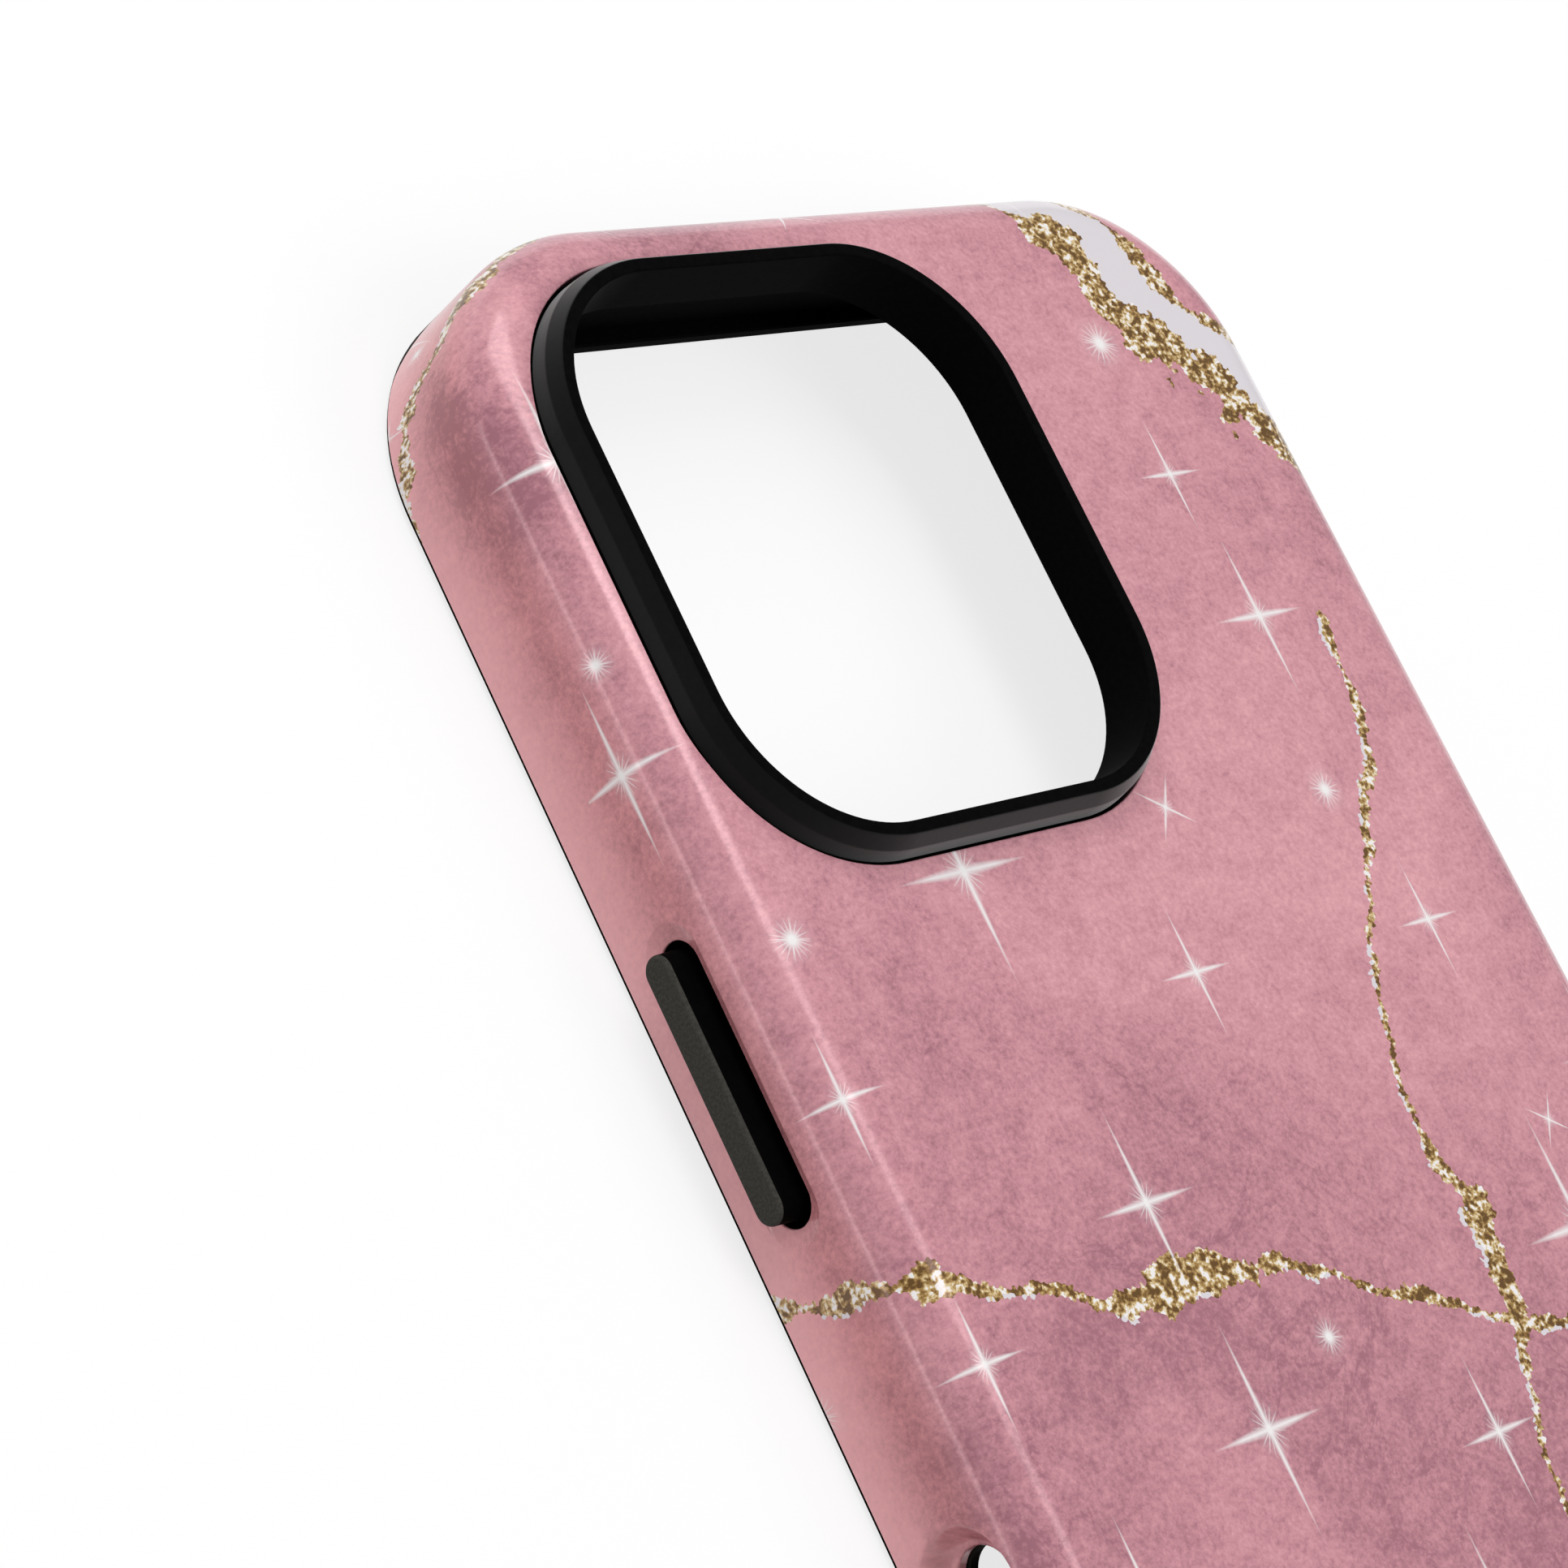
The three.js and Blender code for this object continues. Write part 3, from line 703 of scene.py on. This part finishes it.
# Pale bands along X, each between two veins: the paths of both, and then the widths of both
AGATE_BANDS = [
    ([(-90, 128), (0, 94), (15, 85), (17.5, 80), (19, 76.2), (21, 73.4), (23, 70), (25, 67),
      (27, 64.4), (29, 61.8), (31, 59.3), (33, 57.3), (35, 55.2), (37, 53), (40, 48.5),
      (48, 40), (90, 30)],
     [(-90, 126), (0, 98), (18, 86), (24, 79.5), (27, 75.8), (29, 73), (31, 70.2), (33, 66.9),
      (35, 64.6), (37, 62), (42, 54), (50, 47), (90, 38)],
     [(-90, 1.5), (12, 2), (18, 2.8), (21, 3.4), (23, 8), (27, 8), (29, 6.8), (31, 7.2),
      (35, 6), (38, 4.6), (43, 2.2), (90, 1.8)],
     [(-90, 1), (20, 1.4), (27, 2), (31, 3.4), (34, 2.8), (38, 2), (90, 1)]),
    ([(-90, -30), (-50, -36), (-38, -43), (-22, -46), (-6, -55), (10, -58), (30, -55),
      (46, -62), (90, -70)],
     [(-90, -24), (-50, -31), (-36, -35), (-20, -39), (-4, -49), (10, -54), (30, -48),
      (46, -53), (90, -60)],
     [(-90, 2), (-44, 2.4), (-30, 3), (-12, 1.6), (8, 2.6), (32, 2), (90, 2)],
     [(-90, 1.2), (-40, 1), (-20, 2.6), (4, 1.4), (30, 1), (90, 1)]),
]
# Scatters of tall crosses, small crosses and round bursts, with the numbers that glints() takes.
# Lengths are in metres, the turn is in radians, and the last three are shares of the reach.
GLINTS = [
    (19 * MM, (0.004, 0.006, 0), (7 * MM, 9.5 * MM), 0, 0.75, 0.28, 0.065, 0.085),
    (24 * MM, (0.1, 0.03, 0), (4.5 * MM, 4.5 * MM), 0.6, 0.45, 0.3, 0.06, 0.08),
    (30 * MM, (0.05, 0.2, 0), (2.4 * MM, 2.4 * MM), 0.3, 0.6, 0.9, 0.05, 0.32),
]


def highest(add, levels):
    """The highest of several levels."""
    whole = levels[0]
    for level in levels[1:]:
        whole = add(MATH, (whole, level), operation="MAXIMUM")
    return whole


def drawn_level(add, along, points):
    """A level from 0 to 1 that is drawn smoothly along the print through points of (mm, level)."""
    share = add(MAP_RANGE, (along, -PRINT_HALF * MM, PRINT_HALF * MM))
    curve = add("ShaderNodeFloatCurve", {"Value": share})
    first, *others, last = [((mm + PRINT_HALF) / (2 * PRINT_HALF), level) for mm, level in points]
    drawn = curve.mapping.curves[0].points
    drawn[0].location, drawn[1].location = first, last
    for point in others:
        drawn.new(*point)
    curve.mapping.update()
    return curve


def vein_distance(add, along, across, path):
    """How far across a vein's path a place lies, in metres."""
    points = [(a, (c + PRINT_HALF) / (2 * PRINT_HALF)) for a, c in path]
    level = drawn_level(add, along, points)
    middle = add(MAP_RANGE, {0: level, 3: -PRINT_HALF * MM, 4: PRINT_HALF * MM})
    return add(MATH, (across, middle), operation="SUBTRACT")


def vein_mask(add, along, distance, widths, uneven):
    """One within half the vein's width, and nought outside it."""
    level = drawn_level(add, along, [(a, width / WIDEST_VEIN) for a, width in widths])
    half = add(MATH, (level, WIDEST_VEIN / 2 * MM), operation="MULTIPLY")
    half = add(MATH, (half, uneven), operation="MULTIPLY")
    reach = add(MATH, (distance,), operation="ABSOLUTE")
    return add(MATH, (reach, half), operation="LESS_THAN")


def glints(add, place, spacing, shift, reach, turned, share, burst, thickness, core):
    """A scatter of printed glints: crosses with short rays and a soft core in each."""
    place = add(VECTOR_MATH, (place, shift))
    scatter = {"Vector": place, "Scale": 1 / spacing, "Randomness": 0.8}
    cells = add(CELLS, scatter, voronoi_dimensions="2D")
    chance = add(CHANNELS, (cells.outputs["Color"],)).outputs
    size = add(MAP_RANGE, {0: chance["Green"], 3: 0.5, 4: 1})
    away = add(VECTOR_MATH, (place, cells.outputs["Position"]), operation="SUBTRACT")
    away = add(VECTOR_MATH, {0: away, "Scale": 1 / reach[1]}, operation="SCALE")
    away = add("ShaderNodeVectorRotate", {0: away, "Angle": turned}, rotation_type="Z_AXIS")
    away = add(AXES, (away,)).outputs
    x = add(MATH, (away["X"], reach[1] / reach[0]), operation="MULTIPLY")
    x = add(MATH, (x, size), operation="DIVIDE")
    y = add(MATH, (away["Y"], size), operation="DIVIDE")
    # Long rays that taper and fade out towards their tips
    wide = [add(MATH, (side,), operation="ABSOLUTE") for side in (x, y)]
    parts = []
    for along, across in (wide, wide[::-1]):
        left = add(MATH, (1, along), operation="SUBTRACT", use_clamp=True)
        width = add(MATH, (left, thickness, 0.003), operation="MULTIPLY_ADD")
        level = add(MATH, (left, 1.9), operation="MULTIPLY", use_clamp=True)
        parts.append(add(MAP_RANGE, (across, 0, width, level, 0)))
    # Eighteen short rays round the middle
    out = add(MATH, (x, x), operation="MULTIPLY")
    out = add(MATH, (y, y, out), operation="MULTIPLY_ADD")
    out = add(MATH, (out,), operation="SQRT")
    turn = add(MATH, (y, x), operation="ARCTAN2")
    turn = add(MATH, (turn, 9, chance["Blue"]), operation="MULTIPLY_ADD")
    turn = add(MATH, (turn,), operation="SINE")
    turn = add(MATH, (turn, turn), operation="MULTIPLY")
    tip = add(MAP_RANGE, (turn, 0.45, 1, burst * 0.3, burst))
    spikes = add(MATH, (tip, out), operation="SUBTRACT")
    parts.append(add(MAP_RANGE, (spikes, 0, burst * 0.8)))
    # A bright core with a soft halo
    parts.append(add(MAP_RANGE, (out, core * 0.4, core * 1.4, 1, 0)))
    halo = add(MAP_RANGE, (out, 0, core * 4, 0.5, 0))
    parts.append(add(MATH, (halo, halo), operation="MULTIPLY"))
    there = add(MATH, (chance["Red"], share), operation="LESS_THAN")
    return add(MATH, (highest(add, parts), there), operation="MULTIPLY")


def watercolour(add, flat, height, thin, colours):
    """Clouds of watercolour on grained paper, with painted shade that turns them warmer and darker
    down the sides and where they roll over the edge, painted light that turns them paler towards
    the foot, and a painted highlight in one corner.
    """
    shifted = add(VECTOR_MATH, (flat, CLOUD_SHIFT))
    clouds = add(NOISE, {"Vector": shifted, **CLOUDS})
    mottle, grain, washes = (add(NOISE, {"Vector": flat, **p}) for p in (MOTTLE, GRAIN, WASHES))
    # Thin rims where the paint has dried at the edge of a wash
    rim = add(MATH, (washes, 0.5), operation="SUBTRACT")
    rim = add(MATH, (rim,), operation="ABSOLUTE")
    rim = add(MAP_RANGE, (rim, 0, 0.014, 0.09, 0))
    shown = add(MAP_RANGE, (clouds, 0.46, 0.6))
    # Painted shade: the print is darker where it starts to roll over the edge
    rolled = add(MAP_RANGE, (height, BACK - 0.6 * MM, BACK - 1.6 * MM, 0, 0.045))
    # Painted highlight: a paler patch of print in the corner beside the collar
    washed = add(VECTOR_MATH, (flat, PALE_WASH), operation="SUBTRACT")
    washed = add(VECTOR_MATH, (washed, (1, 0.62, 1)), operation="MULTIPLY")
    washed = add(VECTOR_MATH, (washed,), operation="LENGTH").outputs["Value"]
    washed = add(MATH, (washes, 7 * MM, washed), operation="MULTIPLY_ADD")
    washed = add(MAP_RANGE, (washed, 9 * MM, 7 * MM, 0, -0.15))
    tone = add(MATH, (clouds, 0.68, 0.05), operation="MULTIPLY_ADD")
    shares = ((mottle, 0.38), (grain, 0.48), (rim, shown), (thin, -0.3), (rolled, 1), (washed, 1))
    for part, share in shares:
        tone = add(MATH, (part, share, tone), operation="MULTIPLY_ADD")
    ramp = add(RAMP, (tone,))
    stops = ramp.color_ramp.elements
    stops[0].position, stops[0].color = 0.62, colours.blush
    stops[1].position, stops[1].color = 1, colours.mauve
    stops.new(0.8).color = colours.rose
    # Painted shade: the print turns warmer and darker down the sides
    wrap = add(MAP_RANGE, (height, BACK - 2 * MM, BACK - 4.5 * MM))
    tinted = {0: wrap, 6: ramp, 7: colours.side_tint}
    tinted = add(MIX, tinted, data_type="RGBA", blend_type="MULTIPLY").outputs[2]
    # Painted light: the print turns paler towards the foot
    faded = {0: thin, 6: tinted, 7: colours.fade}
    return add(MIX, faded, data_type="RGBA").outputs[2]


def veins(add, place):
    """Two masks: the gold of the veins, and the white of the bands and of slivers by the veins."""
    wander = add(NOISE, {"Vector": place, **WANDER}).outputs["Color"]
    wander = add(VECTOR_MATH, (wander, (0.5, 0.5, 0.5)), operation="SUBTRACT")
    wander = add(VECTOR_MATH, {0: wander, "Scale": WANDER_REACH}, operation="SCALE")
    wandering = add(VECTOR_MATH, (place, wander))
    x, y = add(AXES, (wandering,)).outputs[:2]
    uneven = add(NOISE, {"Vector": place, **UNEVEN})
    uneven = add(MAP_RANGE, (uneven, 0.36, 0.64, 0.3, 1.35))
    sliver = add(NOISE, {"Vector": place, **SLIVERS})
    sliver = add(MAP_RANGE, (sliver, 0.44, 0.54))
    sliver = add(MATH, (sliver, uneven), operation="MULTIPLY")
    gold, white = [], []
    runs = [(y, x, *vein) for vein in LONG_VEINS] + [(x, y, *vein) for vein in CROSS_VEINS]
    for along, across, path, widths in runs:
        distance = vein_distance(add, along, across, path)
        gold.append(vein_mask(add, along, distance, widths, uneven))
        beside = add(MATH, (distance, SLIVER_OFFSET))
        white.append(vein_mask(add, along, beside, widths, sliver))
    for *paths, inner_widths, outer_widths in AGATE_BANDS:
        inner, outer = (vein_distance(add, x, y, path) for path in paths)
        gold.append(vein_mask(add, x, inner, inner_widths, uneven))
        gold.append(vein_mask(add, x, outer, outer_widths, uneven))
        above = add(MATH, (inner, 0), operation="GREATER_THAN")
        below = add(MATH, (outer, 0), operation="LESS_THAN")
        white.append(add(MATH, (above, below), operation="MULTIPLY"))
    return highest(add, gold), highest(add, white)


def glitter(add, flat, flakes, thin, colours):
    """Gold glitter, printed: dark, gold, pale and near white flakes by chance and in patches."""
    chance = add(CHANNELS, (flakes.outputs["Color"],)).outputs["Red"]
    crumbs = add(NOISE, {"Vector": flat, **CRUMBS})
    sparkle = add(NOISE, {"Vector": flat, **PATCHES})
    # Painted light also makes the flakes brighter towards the foot
    for part, share in ((chance, 0.22), (crumbs, 1.1), (thin, 0.14)):
        sparkle = add(MATH, (part, share, sparkle), operation="MULTIPLY_ADD")
    sparkle = add(MATH, (sparkle, 0.5), operation="SUBTRACT")
    ramp = add(RAMP, (sparkle,))
    stops = ramp.color_ramp.elements
    stops[0].position, stops[0].color = 0.5, colours.gold_dark
    stops[1].position, stops[1].color = 0.66, colours.gold
    stops.new(0.78).color = colours.gold_pale
    stops.new(0.86).color = colours.glint
    return ramp


def marble_print(add, colours):
    """The rose marble print with gold glitter veins, agate bands and glints, as one colour."""
    flat = add("ShaderNodeUVMap", uv_map="print")
    height = add(AXES, (add(PLACE).outputs["Object"],)).outputs["Z"]
    # Painted light: the print turns paler towards the foot, as if lit from the floor
    thin = add(MAP_RANGE, (height, THIN_FROM, FOOT, 0, 0.62))
    # Each flake lies wholly in or out of a vein, because the veins' masks read its middle
    flakes = add(CELLS, {"Vector": flat, "Scale": 1 / FLAKE}, voronoi_dimensions="2D")
    gold, white = veins(add, flakes.outputs["Position"])
    lit = highest(add, [glints(add, flat, *scatter) for scatter in GLINTS])
    printed = watercolour(add, flat, height, thin, colours)
    layers = (
        (white, colours.agate),
        (gold, glitter(add, flat, flakes, thin, colours)),
        (lit, colours.glint),
    )
    for mask, colour in layers:
        printed = add(MIX, {0: mask, 6: printed, 7: colour}, data_type="RGBA").outputs[2]
    return printed


def printed_polycarbonate(colours):
    """Moulded gloss polycarbonate, printed under its surface: a clear, slightly soft reflection."""
    material, add = blank_material("printed gloss polycarbonate")
    # Painted shade: the print stops at the rims of the button slots, and their walls are coloured
    # near black for the shade in them
    place = add(AXES, (add(PLACE).outputs["Object"],)).outputs
    side = add(MATH, (place["X"],), operation="ABSOLUTE")
    sunk = add(MAP_RANGE, (side, HALF_WIDTH - 0.42 * MM, HALF_WIDTH - 0.5 * MM))
    below = add(MATH, (place["Z"], CROWN_START), operation="LESS_THAN")
    # All four slots lie within 30 mm of this place along the sides
    beside = add(MATH, (place["Y"], 19 * MM), operation="SUBTRACT")
    beside = add(MATH, (beside,), operation="ABSOLUTE")
    beside = add(MATH, (beside, 30 * MM), operation="LESS_THAN")
    bare = add(MATH, (sunk, below), operation="MULTIPLY")
    bare = add(MATH, (bare, beside), operation="MULTIPLY")
    shown = {0: bare, 6: marble_print(add, colours), 7: colours.bare}
    shown = add(MIX, shown, data_type="RGBA").outputs[2]
    inputs = {"Base Color": shown, "Roughness": 0.17, "IOR": 1.58}
    inputs["Specular Tint"] = colours.lustre
    surface = add("ShaderNodeBsdfPrincipled", inputs)
    add(OUTPUT, {"Surface": surface})
    return material


def rubber(name, colour, roughness, grain, depth):
    """Moulded thermoplastic rubber: matt, with next to no reflection and a skin of fine pits."""
    material, add = blank_material(name)
    place = add(PLACE).outputs["Object"]
    noise = add(NOISE, {"Vector": place, "Scale": 1 / grain, "Detail": 2})
    bump = add("ShaderNodeBump", {"Height": noise, "Distance": depth, "Strength": 0.6})
    # Painted shade: fine pits hold less light than the skin between them, so they are coloured
    # darker
    pits = add(MAP_RANGE, (noise, 0.35, 0.65, 0.82, 1.18))
    tone = {0: 1, 6: colour, 7: pits}
    tone = add(MIX, tone, data_type="RGBA", blend_type="MULTIPLY").outputs[2]
    inputs = {"Base Color": tone, "Roughness": roughness, "IOR": 1.5, "Normal": bump}
    inputs["Specular IOR Level"] = 0.012
    surface = add("ShaderNodeBsdfPrincipled", inputs)
    add(OUTPUT, {"Surface": surface})
    return material


# The moulds' grain. It is 0.05 to 0.1 mm in real ones, and coarser here so that it shows.
SKIN_GRAIN = 0.5 * MM
PAD_GRAIN = 0.2 * MM


def liner_rubber(colours):
    """The liner's rubber: near black and matt, with a painted sheen that makes its outward faces at
    the two ends a little paler.
    """
    material = rubber("moulded matt liner rubber", colours.liner, 0.7, SKIN_GRAIN, 0.02 * MM)
    tree = material.node_tree
    add = partial(node, tree)
    place = add(PLACE).outputs["Object"]
    height = add(AXES, (place,)).outputs["Z"]
    facing = add("ShaderNodeNewGeometry").outputs["Normal"]
    # Painted sheen: faces that turn outwards below the collar are coloured paler, as if lit
    spoke = add(VECTOR_MATH, (place, (1, 1, 0)), operation="MULTIPLY")
    spoke = add(VECTOR_MATH, (spoke,), operation="NORMALIZE")
    outward = add(VECTOR_MATH, (spoke, facing), operation="DOT_PRODUCT")
    outer = add(MAP_RANGE, (outward.outputs["Value"], 0.2, 0.5))
    below = add(MATH, (height, POCKET_TOP - 0.2 * MM), operation="LESS_THAN")
    outer = add(MATH, (outer, below), operation="MULTIPLY")
    base = tree.nodes["Principled BSDF"].inputs["Base Color"]
    tone = {0: outer, 6: base.links[0].from_socket, 7: colours.liner_end}
    tone = add(MIX, tone, data_type="RGBA")
    tree.links.new(tone.outputs[2], base)
    return material


def collar_side_rubber(colours):
    """The same rubber, moulded smoother: a soft sheen where it turns away from the eye."""
    material = rubber("moulded smooth collar rubber", colours.liner, 0.7, SKIN_GRAIN, 0.01 * MM)
    surface = material.node_tree.nodes["Principled BSDF"].inputs
    surface["Sheen Weight"].default_value = 0.75
    surface["Sheen Roughness"].default_value = 0.4
    return material


def pad_face_rubber(colours):
    """Rubber from a grained mould, with painted light: a dull grey-black, as if lit from the side,
    with a fine speckle.
    """
    return rubber("grained pad rubber", colours.pad, 0.75, PAD_GRAIN, 0.04 * MM)


def pad_side_rubber(colours):
    """Rubber from a smooth mould, with painted shade: a plain deep black, as if in shade."""
    return rubber("smooth pad side rubber", colours.pad_side, 0.6, SKIN_GRAIN, 0.01 * MM)


# Stage ------------

# The lamps, which all face the case: place and size in metres, and the name of the power
LAMPS = {
    "key": ((0.5, -0.7, 1.2), (1, 0.8), "key"),
    "left": ((-1.1, -0.6, 0.35), (0.8, 0.5), "left"),
    "overhead strip": ((-0.07, 0.14, 0.7), (0.13, 0.5), "overhead"),
    "skirting strip": ((-0.9, 0.15, 0.055), (0.8, 0.09), "skirting"),
    "far": ((-0.15, 0.7, 0.85), (0.44, 1), "far"),
}
# The camera, fitted to the case's outlines: its place in metres and its axes
CAMERA_PLACE = (-0.217859, -0.028634, 0.192039)
CAMERA_RIGHT = Vector((0.69770928, -0.42047108, 0.58000502))
CAMERA_DOWN = Vector((-0.14516872, -0.87581878, -0.46029068))
CAMERA_AHEAD = Vector((0.70151821, 0.23695049, -0.67210614))
LENS = 95.13
# The floor: half its width in metres, and how much of its white to the eye is its own
FLOOR_HALF = 20
FLOOR_GLOW = 0.78


class CASE_OT_stage(bpy.types.Operator):
    """Makes the floor, the surroundings, the lamps and the camera"""

    bl_idname = "case.stage"
    bl_label = "Stage"

    def execute(self, context):
        levels = context.scene.case_studio
        context.scene.view_settings.view_transform = "Standard"
        self.camera(context)
        self.floor()
        self.surroundings(context, levels)
        for name, (place, size, power) in LAMPS.items():
            self.lamp(context, name, place, size, getattr(levels, power))
        return {"FINISHED"}

    def camera(self, context):
        lens = bpy.data.cameras.new("camera")
        lens.lens = LENS
        lens.sensor_width = 36
        lens.clip_start = 0.01
        camera = bpy.data.objects.new("camera", lens)
        context.scene.collection.objects.link(camera)
        turn = Matrix((CAMERA_RIGHT, -CAMERA_DOWN, -CAMERA_AHEAD)).transposed().to_4x4()
        camera.matrix_world = Matrix.Translation(CAMERA_PLACE) @ turn
        context.scene.camera = camera

    def floor(self):
        """A white floor that shows the object's shadow faintly."""
        bm = bmesh.new()
        bmesh.ops.create_grid(bm, x_segments=1, y_segments=1, size=FLOOR_HALF)
        floor = new_piece("floor", bm)
        # Matt paper, rolled out: white to the eye, with a soft shadow
        material, add = blank_material("white studio paper")
        path = add("ShaderNodeLightPath").outputs
        seen = add(MATH, (path["Is Camera Ray"], path["Is Glossy Ray"]))
        seen = add(MATH, (seen, path["Is Transmission Ray"]), use_clamp=True)
        seen = add(MATH, (seen, FLOOR_GLOW), operation="MULTIPLY")
        # It sends back less light to the case than white paper would
        dull, pale = linear("#DCDCDC"), linear("#FAFAFA")
        tone = add(MIX, {0: path["Is Camera Ray"], 6: dull, 7: pale}, data_type="RGBA")
        paper = add("ShaderNodeBsdfDiffuse", {"Color": tone.outputs[2]})
        white = add("ShaderNodeEmission", {"Color": (1, 1, 1, 1), "Strength": 1})
        mixed = add("ShaderNodeMixShader", (seen, paper, white))
        add(OUTPUT, {"Surface": mixed})
        floor.data.materials.append(material)

    def surroundings(self, context, levels):
        world = bpy.data.worlds.new("pale studio")
        context.scene.world = world
        world.use_nodes = True
        background = world.node_tree.nodes["Background"].inputs
        background["Color"].default_value = (1, 1, 1, 1)
        background["Strength"].default_value = levels.ambient

    def lamp(self, context, name, place, size, power):
        """A lamp that faces the case, with its width level."""
        light = bpy.data.lights.new(name, "AREA")
        light.shape = "RECTANGLE"
        light.size, light.size_y = size
        light.energy = power
        lamp = bpy.data.objects.new(name, light)
        context.scene.collection.objects.link(lamp)
        turn = (-Vector(place)).to_track_quat("-Z", "Y").to_matrix().to_4x4()
        lamp.matrix_world = Matrix.Translation(place) @ turn


class CASE_PT_sidebar(bpy.types.Panel):
    """Lists the case's pieces, sizes, colours and light levels."""

    bl_idname = "CASE_PT_sidebar"
    bl_label = "Phone case"
    bl_space_type = "VIEW_3D"
    bl_region_type = "UI"
    bl_category = "Case"

    def draw(self, context):
        for operator in OPERATORS:
            self.layout.operator(operator.bl_idname)
        for name in GROUPS:
            group = getattr(context.scene, name)
            column = self.layout.column()
            for value in group.__annotations__:
                column.prop(group, value)


OPERATORS = (CASE_OT_stage, CASE_OT_shell, CASE_OT_liner, CASE_OT_buttons)
GROUPS = {"case_sizes": CaseSizes, "case_colours": CaseColours, "case_studio": StudioLevels}


def register():
    for name, group in GROUPS.items():
        bpy.utils.register_class(group)
        setattr(bpy.types.Scene, name, bpy.props.PointerProperty(type=group))
    for kind in (*OPERATORS, CASE_PT_sidebar):
        bpy.utils.register_class(kind)


def unregister():
    for kind in (CASE_PT_sidebar, *reversed(OPERATORS)):
        bpy.utils.unregister_class(kind)
    for name, group in GROUPS.items():
        delattr(bpy.types.Scene, name)
        bpy.utils.unregister_class(group)


def main():
    register()
    for operator in OPERATORS:
        family, name = operator.bl_idname.split(".")
        getattr(getattr(bpy.ops, family), name)()


if __name__ == "__main__":
    main()
